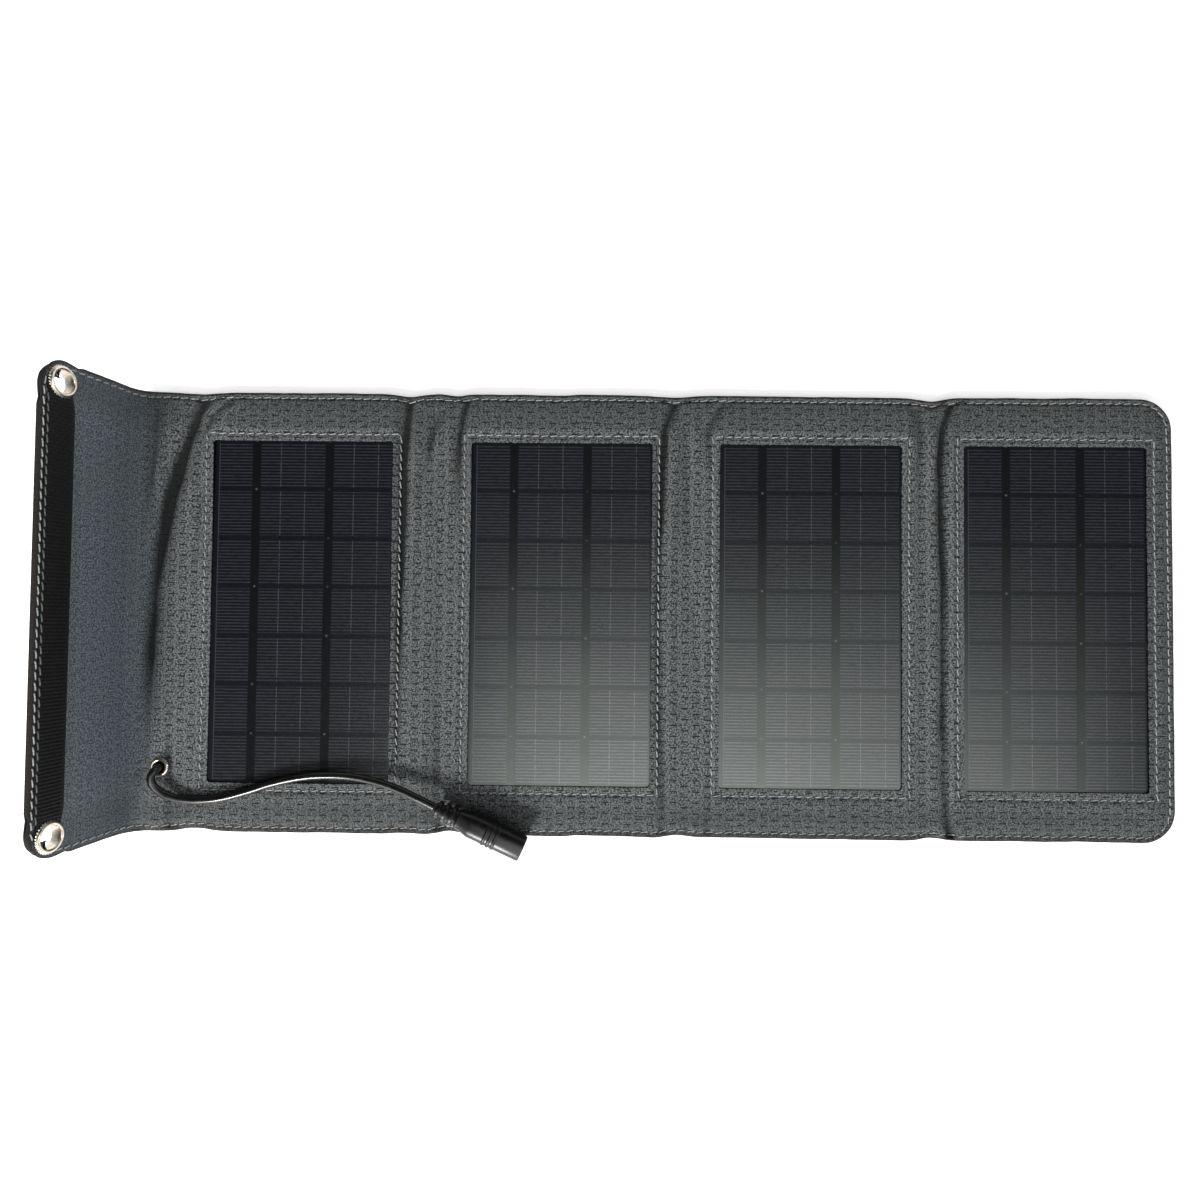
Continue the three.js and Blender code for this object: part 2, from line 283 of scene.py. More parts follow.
# ---- materials

def feed(socket, value):
    """Links a number or an output to a socket, or sets the socket where the value is plain."""
    value = getattr(value, "source", value)
    if isinstance(value, bpy.types.NodeSocket):
        socket.id_data.links.new(value, socket)
    else:
        socket.default_value = value


class Field:
    """A number worked out at each place of a surface, written as a formula."""

    def __init__(self, tree, source):
        self.tree, self.source = tree, source

    def math(self, kind, *others):
        node = self.tree.nodes.new("ShaderNodeMath")
        node.operation = kind
        for socket, value in zip(node.inputs, (self, *others)):
            feed(socket, value)
        return Field(self.tree, node.outputs[0])

    __add__ = partialmethod(math, "ADD")
    __sub__ = partialmethod(math, "SUBTRACT")
    __mul__ = partialmethod(math, "MULTIPLY")
    __truediv__ = partialmethod(math, "DIVIDE")
    __abs__ = partialmethod(math, "ABSOLUTE")
    least = partialmethod(math, "MINIMUM")
    most = partialmethod(math, "MAXIMUM")

    def below(self, edge, soft=0.1):
        """1 where the number is under the edge, 0 where it is over it."""
        away = (self * -1.0 + edge) / soft + 0.5
        away.source.node.use_clamp = True
        return away

    def centred(self, period):
        """Distance from the middle of the nearest repeat, with its sign."""
        turns = self / period + 0.5
        return (turns.math("FRACT") - 0.5) * period

    def nearest(self, *places):
        """Distance from the nearest of some places."""
        away = [abs(self - place) for place in places]
        while len(away) > 1:
            away[:2] = [away[0].least(away[1])]
        return away[0]

    def invert(self):
        return self * -1.0 + 1.0


class Finish:
    """A node material with one Principled shader and helpers to feed it."""

    def __init__(self, name, colour, roughness, **numbers):
        self.material = bpy.data.materials.new(name)
        self.material.use_nodes = True
        self.tree = self.material.node_tree
        self.shader = self.tree.nodes["Principled BSDF"]
        self.set(self.shader, Base_Color=(*colour, 1), Roughness=roughness, **numbers)

    def set(self, node, **values):
        for socket, value in values.items():
            feed(node.inputs[socket.replace("_", " ")], value)
        return node

    def node(self, kind, **values):
        return self.set(self.tree.nodes.new("ShaderNode" + kind), **values)

    def map_places(self):
        """The two numbers of the UV map, in millimetres, and the vector itself."""
        uv = self.node("UVMap")
        uv.uv_map = UV_NAME
        split = self.node("SeparateXYZ", Vector=uv.outputs[0])
        return *(Field(self.tree, split.outputs[k]) for k in (0, 1)), uv.outputs[0]

    def body_places(self, scale=1000.0):
        """Places on the piece itself, in millimetres."""
        scaled = self.node("VectorMath")
        scaled.operation = "SCALE"
        self.set(scaled, Vector=self.node("TexCoord").outputs["Object"], Scale=scale)
        return scaled.outputs[0]

    def attribute(self, name):
        node = self.node("Attribute")
        node.attribute_name = name
        return Field(self.tree, node.outputs["Fac"])

    def noise(self, vector, scale, detail=2.0, stretch=None):
        if stretch is not None:
            vector = self.node("Mapping", Vector=vector, Scale=stretch).outputs[0]
        node = self.node("TexNoise", Vector=vector, Scale=scale, Detail=detail)
        return Field(self.tree, node.outputs["Fac"])

    def mix(self, share, *colours):
        """A colour between two, each a colour or an earlier mix."""
        node = self.node("Mix")
        node.data_type = "RGBA"
        feed(node.inputs[0], share)
        for socket, value in zip(node.inputs[6:8], colours):
            feed(socket, (*value, 1) if isinstance(value, tuple) else value)
        return node.outputs[2]

    def colour(self, source):
        feed(self.shader.inputs["Base Color"], source)

    def rough(self, field):
        feed(self.shader.inputs["Roughness"], field)

    def bump(self, field, distance, strength=1.0):
        node = self.node("Bump", Distance=distance * MM, Strength=strength, Height=field)
        feed(self.shader.inputs["Normal"], node.outputs[0])
        return self.material


def spread(noise, low, high):
    """A noise number stretched so that low becomes 0 and high becomes 1."""
    stretched = (noise - low) / (high - low)
    stretched.source.node.use_clamp = True
    return stretched


def front_fabric():
    """Dark grey melange cloth with a hexagon jacquard."""
    f = Finish("front_fabric", (0.06, 0.066, 0.069), 0.86, Specular_IOR_Level=0.18)
    x, y, places = f.map_places()
    column, row = 9.0, 4.4

    def dashes(shift_x, shift_y):
        across = abs((x + shift_x).centred(column)).below(1.45, 0.3)
        up = abs(abs((y + shift_y).centred(row)) - row / 2).below(0.24, 0.16)
        return across * up

    dash = dashes(0.0, 0.0).most(dashes(column / 2, row / 2))
    from_middle = abs(x.centred(column)) + abs(y.centred(row)) * 0.727
    slanting = abs(from_middle - 3.05).below(0.3, 0.25)
    on_panels = (x * -1.0).below(-BEND + 2.0, 16.0) * 0.5 + 0.5
    patches = f.noise(places, 0.12, 2.0)
    slanting = slanting * dash.invert() * on_panels * spread(patches, 0.2, 0.55)
    specks = f.noise(places, 1.3, 1.0, (1.0, 1.25, 1.0)) * 0.55 + f.noise(places, 2.7, 1.0) * 0.45
    long_yarn = f.noise(places, 1.0, 2.0, (2.4, 0.55, 1.0))
    wear = f.noise(places, 0.03, 3.0)
    light = spread(specks * 0.75 + long_yarn * 0.25, 0.45, 0.56)
    body = f.mix(light, (0.006, 0.007, 0.0082), (0.152, 0.163, 0.167))
    body = f.mix(spread(wear, 0.35, 0.7) * 0.25, body, (0.062, 0.065, 0.062))
    groove = abs(from_middle - 2.55).below(0.2, 0.2)
    body = f.mix(groove * on_panels * 0.14, body, (0.010, 0.011, 0.011))
    body = f.mix(slanting * 0.36, body, (0.175, 0.186, 0.19))
    body = f.mix(dash * on_panels * 0.85, body, (0.005, 0.006, 0.006))
    # Painted light: the flap's cloth is mixed up to a quarter of the way towards a paler blue grey, for the
    # light on its standing face
    body = f.mix(on_panels * -0.5 + 0.5, body, (0.080, 0.108, 0.136))
    body = f.mix((x * -1.0).below(-TIP - 2.3, 0.4).invert() * 0.85, body, (0.010, 0.010, 0.011))
    # Painted shade: the cloth is darkened towards near black in its creases, the deeper the crease the darker
    body = f.mix(spread(f.attribute("crease"), 0.06, 1.0) * 0.9, body, (0.003, 0.0035, 0.0035))
    edge = f.attribute("edge")
    # Painted shade: the cloth is darkened within about 14 mm of the outline, over the border strips
    body = f.mix(edge.below(14.0, 9.0) * 0.32, body, (0.022, 0.025, 0.025))
    hem = edge.below(1.15, 0.9)
    f.colour(f.mix(hem * 0.75, body, (0.015, 0.010, 0.007)))
    weave = (x * 7.9).math("SINE") * (y * 7.9).math("SINE")
    f.rough(light * 0.12 + 0.78)
    return f.bump(specks * 1.3 + weave * 0.12 + slanting * 0.4 - dash * 0.8, 0.26, 0.8)


def back_fabric():
    """Plain black cloth in a visible two-over-two weave."""
    f = Finish("back_fabric", (0.012, 0.012, 0.013), 0.82, Specular_IOR_Level=0.22)
    x, y, places = f.map_places()
    threads = (x * 5.2 + y * 5.2).math("SINE") * 0.5 + 0.5
    crossing = (x * 10.4).math("SINE") * (y * 10.4).math("SINE")
    specks = f.noise(places, 2.2, 3.0)
    wear = f.noise(places, 0.04, 3.0)
    body = f.mix(spread(specks, 0.35, 0.65), (0.007, 0.007, 0.008), (0.026, 0.026, 0.027))
    body = f.mix(threads * 0.3, body, (0.030, 0.030, 0.031))
    f.colour(f.mix(spread(wear, 0.4, 0.7) * 0.3, body, (0.034, 0.032, 0.030)))
    f.rough(specks * 0.2 + 0.68)
    return f.bump(threads * 0.6 + crossing * 0.4 + specks * 0.4, 0.14, 0.7)


def laminate():
    """Dark cells with fine silver fingers under a satin clear sheet. Zero is the window's middle."""
    f = Finish("laminate", (0.006, 0.007, 0.01), 0.25, IOR=1.95)
    x, y, places = f.map_places()
    row = 2 * WINDOW_HALF_Y / CELL_ROWS
    gap = (abs(y.centred(row)) * -1.0 + row / 2).below(0.95, 0.25)
    from_band = x.nearest(*BUS_PLACES)
    band = from_band.below(1.75, 0.3)
    inside = abs(x - 0.6).below(35.0, 0.2) * abs(y).below(WINDOW_HALF_Y - 0.5, 0.3)
    printed = inside * gap.invert() * band.invert()
    worn = spread(f.noise(places, 0.8, 2.0, (0.35, 1.0, 1.0)), 0.28, 0.5) * 0.6 + 0.4
    finger = abs(y.centred(FINGER_PITCH)).below(0.24, 0.22) * printed * worn
    broken = f.noise(places, 0.9, 2.0, (0.2, 1.6, 1.0))
    upright = x.nearest(-9.4, 0.4, 20.2, 30.1).below(0.17, 0.2)
    upright = upright * inside * gap.invert() * spread(broken, 0.35, 0.5)
    border = abs(x + 34.4).below(0.17, 0.2) * abs(y).below(WINDOW_HALF_Y - 1.2, 0.2)
    from_gap = (y + row / 2).centred(row)
    dot = (from_band * from_band + from_gap * from_gap).math("SQRT").below(0.42, 0.3)
    dot = dot * spread(f.noise(places, 0.05, 1.0), 0.42, 0.52)
    uneven = f.noise(places, 0.5, 3.0)
    cells = f.mix(uneven, (0.0015, 0.0018, 0.0045), (0.0035, 0.0042, 0.008))
    cells = f.mix(band * 0.8, cells, (0.0022, 0.0028, 0.0030))
    cells = f.mix(finger * 0.85, cells, (0.024, 0.025, 0.028))
    cells = f.mix(upright * 0.8, cells, (0.050, 0.052, 0.057))
    cells = f.mix(border * 0.8, cells, (0.035, 0.037, 0.04))
    f.colour(f.mix(dot * 0.7, cells, (0.09, 0.09, 0.095)))
    shine = f.mix(finger.most(upright), (0.70, 0.77, 0.71), (1.0, 1.0, 1.0))
    f.set(f.shader, Specular_Tint=shine)
    grain = f.noise(places, 2.6, 2.0)
    f.rough(uneven * 0.05 + band * -0.03 + 0.215)
    return f.bump(grain * 0.5 + finger * 0.5 + band * -0.4, 0.03, 0.35)


def thread(name, darker, lighter):
    """Spun thread, with painted shade at both ends of each stitch, where it goes down its needle hole."""
    f = Finish(name, darker, 0.7, Specular_IOR_Level=0.3)
    places = f.body_places()
    ply = f.noise(places, 2.4, 3.0)
    strand = f.mix(spread(ply, 0.35, 0.65), darker, lighter)
    # Painted shade: the ends of each stitch are made near black, for the shade in the needle holes
    f.colour(f.mix(f.attribute("reach").below(0.74, 0.2).invert(), strand, (0.006, 0.006, 0.006)))
    f.rough(ply * 0.2 + 0.58)
    return f.bump(ply, 0.12, 0.8)


def nickel():
    """Plated brass, a little worn and scratched."""
    f = Finish("nickel", (0.66, 0.62, 0.55), 0.24, Metallic=1.0)
    places = f.body_places()
    polish = f.noise(places, 0.6, 4.0)
    scratch = f.noise(places, 1.2, 3.0, (0.4, 3.0, 3.0))
    f.colour(f.mix(spread(polish, 0.4, 0.7), (0.60, 0.55, 0.47), (0.38, 0.32, 0.25)))
    f.rough(spread(scratch, 0.4, 0.75) * 0.14 + 0.27)
    return f.bump(scratch * 0.6 + polish * 0.4, 0.03, 0.4)


def rubber(name, roughness, coat):
    """Black PVC with a soft shine and a little dust."""
    f = Finish(name, (0.007, 0.007, 0.0075), roughness, Coat_Weight=coat, Coat_Roughness=0.14, IOR=1.4)
    places = f.body_places()
    grain = f.noise(places, 3.5, 3.0)
    dust = f.noise(places, 0.35, 4.0)
    f.colour(f.mix(spread(dust, 0.45, 0.75), (0.003, 0.003, 0.0033), (0.009, 0.0085, 0.008)))
    f.rough(dust * 0.16 + (roughness - 0.08))
    return f.bump(grain * 0.5 + dust * 0.5, 0.04, 0.35)


def tape(name, colour, lighter):
    """Black nylon tape with a little fluff."""
    f = Finish(name, colour, 0.75, Specular_IOR_Level=0.2)
    places = f.body_places()
    fluff = f.noise(places, 2.6, 4.0)
    f.colour(f.mix(spread(fluff, 0.4, 0.72), colour, lighter))
    f.rough(fluff * 0.25 + 0.55)
    return f.bump(fluff, 0.3, 0.8)


def plain_inside(name, colour, lighter, roughness, metallic=0.0, scale=0.8):
    """The pieces that the cover hides: board, cells, leads and the small circuit board."""
    f = Finish(name, colour, roughness, Metallic=metallic)
    places = f.body_places()
    grain = f.noise(places, scale, 4.0)
    f.colour(f.mix(spread(grain, 0.35, 0.65), colour, lighter))
    f.rough(grain * 0.2 + (roughness - 0.1))
    return f.bump(grain, 0.05, 0.5)


FRONT = front_fabric()
BACK = back_fabric()
GLASS = laminate()
THREAD = thread("stitch_thread", (0.12, 0.128, 0.128), (0.36, 0.38, 0.375))
DARK_THREAD = thread("tape_thread", (0.04, 0.04, 0.038), (0.15, 0.145, 0.135))
NICKEL = nickel()
CORD_RUBBER = rubber("cord_rubber", 0.3, 0.4)
PLUG_RUBBER = rubber("plug_rubber", 0.34, 0.06)
HOOK_TAPE = tape("hook_tape", (0.002, 0.002, 0.0023), (0.008, 0.008, 0.0085))
LOOP_TAPE = tape("loop_tape", (0.008, 0.008, 0.008), (0.030, 0.030, 0.031))
BOARD = plain_inside("fibre_board", (0.16, 0.14, 0.11), (0.24, 0.21, 0.17), 0.85)
CELLS = plain_inside("silicon_cells", (0.006, 0.008, 0.016), (0.012, 0.016, 0.03), 0.4)
COPPER = plain_inside("tinned_copper", (0.55, 0.30, 0.18), (0.62, 0.46, 0.36), 0.4, 1.0)
CIRCUIT = plain_inside("circuit_board", (0.01, 0.07, 0.03), (0.02, 0.11, 0.05), 0.5)
BLACK = plain_inside("moulded_black", (0.01, 0.01, 0.01), (0.02, 0.02, 0.02), 0.5)


# ---- camera and cord

def make_camera():
    data = bpy.data.cameras.new("camera")
    data.sensor_width = 36.0
    data.lens = 23.06
    data.clip_start = 0.01
    camera = bpy.data.objects.new("camera", data)
    bpy.context.scene.collection.objects.link(camera)
    camera.location = (-0.01349, -0.00297, 0.3115)
    camera.rotation_euler = (0.028, 0.009, 0.0101)
    bpy.context.scene.camera = camera


make_camera()

AWAY = Vector((math.cos(PLUG_ANGLE), math.sin(PLUG_ANGLE), 0))
BESIDE = Vector((-AWAY.y, AWAY.x, 0))


def along_plug(profile, sides=48, squareness=2.0, squash=1.0):
    """Rings of (distance along the plug, radius), rounder or squarer in section."""
    cos, sin = np.cos(around(sides)), np.sin(around(sides))
    reach = (np.abs(cos) ** squareness + np.abs(sin) ** squareness) ** (-1 / squareness)
    rings = []
    for distance, radius in profile:
        centre = np.array(PLUG_START + AWAY * distance)
        across = np.outer(cos * reach, np.array(BESIDE)) + np.outer(sin * reach * squash, (0, 0, 1))
        rings.append(centre + radius * across)
    return rings


def make_cord():
    centres = spline(CORD_ROUTE, 8)
    skin = rings_mesh(sweep(centres, np.full(len(centres), CORD_RADIUS), 24))
    cord = new_object("output_lead", skin, CORD_RUBBER, 60)
    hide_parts("output_cord")
    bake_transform(cord)
    return cord, centres


def moulded(name, node, profile, **section):
    """A rubber piece of the plug, from (distance along it, radius)."""
    piece = new_object(name, rings_mesh(along_plug(profile, **section)), PLUG_RUBBER, 35)
    return hand_in(piece, "cord_rubber", "panel_2", node)


def make_boot():
    """Strain relief: a soft taper with three ribs joined by thinner necks."""
    profile = [(0.0, 0.4), (0.0, 1.95), (0.3, 2.15)]
    for rib in range(3):
        start = 0.7 + rib * 3.0
        core = 2.3 + rib * 0.4
        profile += [(start, core), (start + 0.15, core + 0.9), (start + 0.45, core + 1.2)]
        profile += [(start + 1.35, core + 1.25), (start + 1.65, core + 1.0), (start + 1.8, core + 0.1)]
    profile += [(BOOT_LENGTH, 3.4), (BOOT_LENGTH, 0.4)]
    return moulded("lead_boot", "cord_boot", profile)


def make_plug():
    """Moulded socket body, a little square in section, with three low grip ribs."""
    start = BOOT_LENGTH + 0.2
    profile = [(start, 1.0), (start, 3.5), (start + 0.3, 3.85), (start + 2.6, 4.1), (start + 5.2, 4.75)]
    profile += [(start + 6.4, 4.9)]
    for rib in range(3):
        middle = 22.6 + rib * 2.0
        profile += [(middle - 0.7, 4.92), (middle - 0.4, 5.2), (middle, 5.3), (middle + 0.4, 5.2)]
        profile += [(middle + 0.7, 4.92)]
    profile += [(PLUG_END - 0.9, 4.95), (PLUG_END - 0.3, 4.8), (PLUG_END, 4.4), (PLUG_END, 3.35)]
    profile += [(PLUG_END - 0.3, 3.2), (PLUG_END - 10.8, 3.15), (PLUG_END - 10.8, 1.2)]
    return moulded("socket_body", "plug_body", profile, squareness=2.6, squash=0.94)


def plug_ring(name, node, profile):
    """A turned metal piece inside the socket, from (distance back from its end, radius)."""
    ring = lathe(name, [(r, PLUG_END - d) for d, r in profile], PLUG_START, AWAY, NICKEL, 64)
    return hand_in(ring, "nickel", "panel_2", node)


cord, cord_centres = make_cord()
cord_pieces = [
    make_boot(),
    make_plug(),
    plug_ring("socket_shell", "socket_sleeve",
              [(10.5, 2.6), (10.5, 3.0), (0.6, 3.0), (0.45, 2.85), (0.6, 2.7), (9.9, 2.6)]),
    plug_ring("contact_pin", "centre_pin",
              [(10.5, 0.02), (10.5, 1.05), (2.2, 1.05), (1.7, 0.8), (1.5, 0.3), (1.5, 0.02)]),
]


# ---- the cloth's shape

def along_sheet(s, y, w):
    """Places in millimetres of cloth: s along the sheet, y across it, w above its underside."""
    run = np.maximum(BEND - s, 0)
    turn = np.minimum(run / FLAP_RADIUS, FLAP_ANGLE)
    rest = np.maximum(run - FLAP_ARC, 0)
    reach = FLAP_RADIUS - w
    x = np.maximum(s, BEND) - reach * np.sin(turn) - rest * math.cos(FLAP_ANGLE)
    z = FLAP_RADIUS - reach * np.cos(turn) + rest * math.sin(FLAP_ANGLE)
    return np.stack([x, y, z], -1)


def ripple(s, y, wave, seed):
    """Smooth unevenness from -1 to 1, the same on every run."""
    table = np.random.default_rng(seed).uniform(-1, 1, (64, 64))
    u, v = s / wave + 128.5, y / wave + 128.5
    i, j = np.floor(u).astype(int), np.floor(v).astype(int)
    a, b = u - i, v - j
    a, b = a * a * (3 - 2 * a), b * b * (3 - 2 * b)
    i, j, k, m = i % 64, j % 64, (i + 1) % 64, (j + 1) % 64
    low = table[i, j] * (1 - a) + table[k, j] * a
    high = table[i, m] * (1 - a) + table[k, m] * a
    return low * (1 - b) + high * b


def bell(value, width):
    return np.exp(-((value / width) ** 2))


# Openings in the front cloth: middle, half width, half height, corner radius
WINDOWS = [(CENTRE[n], 0.0, WINDOW_HALF_X, WINDOW_HALF_Y, WINDOW_RADIUS) for n in PANELS]
EYELET_S = BEND - FLAP_ARC - EYELET_ALONG
EYELET_HOLES = [(EYELET_S, side * EYELET_ACROSS, *[EYELET_HOLE] * 3) for side in (-1, 1)]
CORD_HOLES = [(CORD_EYELET.x, CORD_EYELET.y, *[CORD_HOLE] * 3)]

# How far the outer edge is drawn in at each fold, at the top and at the bottom of the sheet
EDGE_DRAWN = [
    (FOLD[1] - 10, 1.1, 0.5, 6.0),
    (FOLD[1] + 9, 0.9, 1.3, 5.0),
    (FOLD[2] - 3, 0.7, 0.9, 6.0),
    (FOLD[3], 1.4, 1.2, 6.0),
    (BEND + 18, 0.9, 1.2, 8.0),
]

# Creases, each with an anchor along the sheet, a depth, a width, a lift on either side, and its
# course as (place across the sheet, distance from the anchor, strength)
CREASES = [
    (BEND, 2.4, 3.3, 1.0, [(-46, -1.4, 0), (-18, -1, 0.45), (10, 0.3, 0.75), (28, 2.3, 1), (46, 5, 1),
     (66, 11.5, 1), (87, 19, 0.6)]),
    (BEND, 1.0, 1.8, 0.6, [(18, 16.5, 0), (46, 17.7, 0.7), (70, 18.9, 0.8), (80, 23, 1), (86, 30, 0.6)]),
    (BEND, 0.6, 1.6, 0.3, [(70, -2, 0), (80, -0.5, 0.8), (86, 2, 0)]),
    (BEND, 0.9, 3.2, 0.7, [(-89, 9, 0.8), (-70, 8, 0.7), (-50, 6.5, 0.5), (-20, 7, 0)]),
    (BEND, 0.6, 2.6, 0.5, [(-89, -4, 0.7), (-60, -3, 0.8), (0, -4, 0.5), (50, -5, 0.6), (89, -4, 0.3)]),
    (FOLD[1], 1.7, 1.9, 1.0, [(-60, -12.6, 0.35), (-2, -12.7, 0.8), (34, -11.9, 1), (66, -11.5, 1),
     (76, -10.6, 1), (88, -9, 0.7)]),
    (FOLD[1], 1.3, 1.5, 0.7, [(30, 10, 0), (57, 10.6, 0.7), (72, 10.8, 0.9), (80, 12.3, 1), (87, 14.4, 0.8)]),
    (FOLD[1], 1.0, 1.4, 0.5, [(56, -2, 0), (68, -1, 0.8), (76, 0.8, 0.9), (82, 2.8, 0.4)]),
    (FOLD[1], 0.8, 2.2, 0.5, [(-89, 5, 0.8), (-70, 3.5, 0.7), (-20, 2.5, 0.35), (40, 2, 0.3), (60, 3, 0)]),
    (FOLD[2], 1.6, 1.9, 0.9, [(-88, -8, 0.3), (-40, -10.4, 0.7), (0, -11, 0.7), (30, -10.9, 0.9),
     (53, -9.6, 1), (64, -8.8, 1), (75, -8.4, 1), (86, -4.4, 0.8)]),
    (FOLD[2], 1.0, 2.0, 0.6, [(56, 9.5, 0), (67, 9.3, 0.5), (75, 9.2, 0.9), (82, 13, 0.9), (86, 16, 0.3)]),
    (FOLD[2], 0.6, 1.8, 0.4, [(-89, 9.5, 1), (-76, 10, 0.8), (-60, 9, 0.2), (20, 1, 0.35), (60, 0.2, 0.8),
     (74, 0, 0.6), (84, 0, 0)]),
    (FOLD[3], 1.7, 1.6, 1.0, [(-88, 7, 0.9), (-72, 5, 0.6), (-40, 4.4, 0.6), (12, 4.9, 0.8), (30, 3.9, 1),
     (48, 3.5, 1), (64, 3.5, 1), (76, 4.4, 1), (86, 7.9, 0.9)]),
    (FOLD[3], 0.7, 2.0, 0.5, [(40, -5, 0), (62, -4.5, 0.6), (73, -4, 0.9), (85, -6, 0.7)]),
]


def corner_distance(a, b, radius):
    """Distance inside two edges that meet in a rounded corner."""
    rounded = radius - np.hypot(np.maximum(radius - a, 0), np.maximum(radius - b, 0))
    return np.where((a < radius) & (b < radius), rounded, np.minimum(a, b))


def edge_distance(s, y):
    """Distance inside the cover's outline."""
    across = HALF - np.abs(y)
    return np.minimum(
        corner_distance(across, RIGHT - s, SHEET_CORNER),
        corner_distance(across, s - TIP, FLAP_CORNER))


def opening_distance(s, y, openings):
    """Distance outside the nearest opening."""
    nearest = np.full(np.shape(s), 1e3)
    for middle_s, middle_y, half_s, half_y, radius in openings:
        a = np.abs(s - middle_s) - half_s + radius
        b = np.abs(y - middle_y) - half_y + radius
        away = np.hypot(np.maximum(a, 0), np.maximum(b, 0)) + np.minimum(np.maximum(a, b), 0) - radius
        nearest = np.minimum(nearest, away)
    return nearest


def support(s, y, border, half):
    """1 over a rigid layer that reaches border past the windows and half up and down, else 0."""
    share = np.zeros(np.shape(s))
    for n in PANELS:
        beside = WINDOW_HALF_X + border + 0.3 - np.abs(s - CENTRE[n])
        share = np.maximum(share, smooth(np.minimum(beside, half + 0.3 - np.abs(y)), -1.2, 0))
    return share


def creases(s, y):
    depth = np.zeros(np.shape(s))
    for anchor, deep, width, lift, course in CREASES:
        across, offset, strength = (np.array(c, float) for c in zip(*course))
        away = s - anchor - np.interp(y, across, offset) + 0.35 * ripple(s * 0, y, 7.0, 5)
        strong = np.interp(y, across, strength, left=0, right=0)
        strong = strong * (0.85 + 0.25 * ripple(s * 0 + anchor, y, 12.0, 6))
        sharp = np.exp(-(np.sqrt(away ** 2 + 0.3) - 0.55) / (0.8 * width))
        depth += strong * (deep * sharp - lift * (bell(away - 2.4 * width, 1.3 * width)
                                                 + bell(away + 2.4 * width, 1.3 * width)))
    return depth


def hem_roll(edge):
    """0 at the cover's edge, rising in a quarter circle to 1 where the hem is full."""
    return np.sqrt(np.clip(1 - (1 - np.clip(edge / HEM_ROLL, 0, 1)) ** 2, 0, 1))


def front_top(s, y):
    """Height of the front cloth's upper face."""
    full = FLAP_THICK + (SHEET_TOP - FLAP_THICK) * smooth(s, BEND - 9, BEND + 4)
    edge = edge_distance(s, y)
    window = opening_distance(s, y, WINDOWS)
    held = support(s, y, LAMINATE_UNDER, WINDOW_HALF_Y + LAMINATE_UNDER)
    boarded = support(s, y, LAMINATE_BORDER, BOARD_HALF)
    on_sheet = smooth(s, BEND - 14, BEND + 2)
    loose = (1 - 0.55 * held) * (0.25 + 0.75 * on_sheet)
    height = full + loose * (
        0.30 * ripple(s, y * 0.6, 17.0, 1) + 0.16 * ripple(s, y * 0.7, 7.0, 2) + 0.06 * ripple(s, y, 3.1, 3))
    sag = 0.45 * (1 - boarded) * smooth(edge, 2, 9) * on_sheet
    height = height - sag - 1.7 * creases(s, y) * (0.4 + 0.6 * on_sheet) * smooth(edge, 0.2, 3.0)
    # stitched channels draw the cloth down
    pucker = 1 + 0.35 * np.sin((s + y) * TURN / STITCH_PITCH)
    height -= 0.50 * pucker * bell(window - WINDOW_STITCH, 0.75)
    height += 0.22 * bell(window - WINDOW_STITCH - 2.6, 1.6) * on_sheet
    height -= 0.12 * bell(window, 0.6)
    height -= (0.55 * on_sheet + 0.12) * pucker * bell(edge - HEM_STITCH, 0.75)
    height -= 0.45 * on_sheet * (1 - smooth(edge, 2.0, 6.5))
    # the rolled hem
    low = np.minimum(HEM_LOW, full * 0.35) + CLOTH
    roll = hem_roll(edge)
    height = low + (height - low) * roll
    # what lies under it keeps it up
    floor = 1.25 + 0.6 * boarded + held * (LAMINATE_TOP + CLOTH + 0.05 - 1.85)
    lead = bell(y + 55, 7.0) * (1 - boarded) * on_sheet
    floor = np.maximum(floor, 1.25 + 1.2 * lead)
    floor = np.where(s < BEND, FLAP_THICK - 0.55, floor)
    floor = low + (floor - low) * roll
    return np.maximum(height, floor)


def back_bottom(s, y):
    """Height of the back cloth's lower face."""
    edge = edge_distance(s, y)
    rise = 0.12 + 0.10 * ripple(s, y * 0.6, 15.0, 11) + 0.04 * ripple(s, y, 4.0, 12)
    for n in FOLD:
        rise += (0.35 * bell(s - FOLD[n] - 3, 2.2) + 0.25 * bell(s - FOLD[n] + 4, 2.0))
    rise += 0.18 * bell(edge - HEM_STITCH, 0.8)
    low = 0.30
    return np.maximum(low + (rise - low) * hem_roll(edge), 0.0)


def settle(s, y):
    """Draws the outer edge in at the folds and lets it run a little unevenly."""
    upper = smooth(y, HALF - 22, HALF)
    lower = smooth(-y, HALF - 22, HALF)
    for place, top, bottom, width in EDGE_DRAWN:
        pull = bell(s - place, width)
        y = y - upper * top * pull + lower * bottom * pull
    uneven = 0.35 * ripple(s, y * 0, 14.0, 21) + 0.12 * ripple(s, y * 0, 4.0, 22)
    return s, y + (upper + lower) * uneven


def drawn_in(a, b):
    """How far places past the start of a square corner move in to make it round."""
    return np.maximum(a, b) / np.maximum(np.hypot(a, b), 1e-9)


def round_ends(s, y, ends, half):
    """Moves the grid of lines so that its outer corners are round: ends are (s, side, radius)."""
    for end, side, radius in ends:
        a = side * (s - end) + radius
        b = np.abs(y) - half + radius
        near = (a > 0) & (b > 0)
        share = drawn_in(a, b)
        s = np.where(near, end + side * (a * share - radius), s)
        y = np.where(near, np.sign(y) * (half - radius + b * share), y)
    return s, y


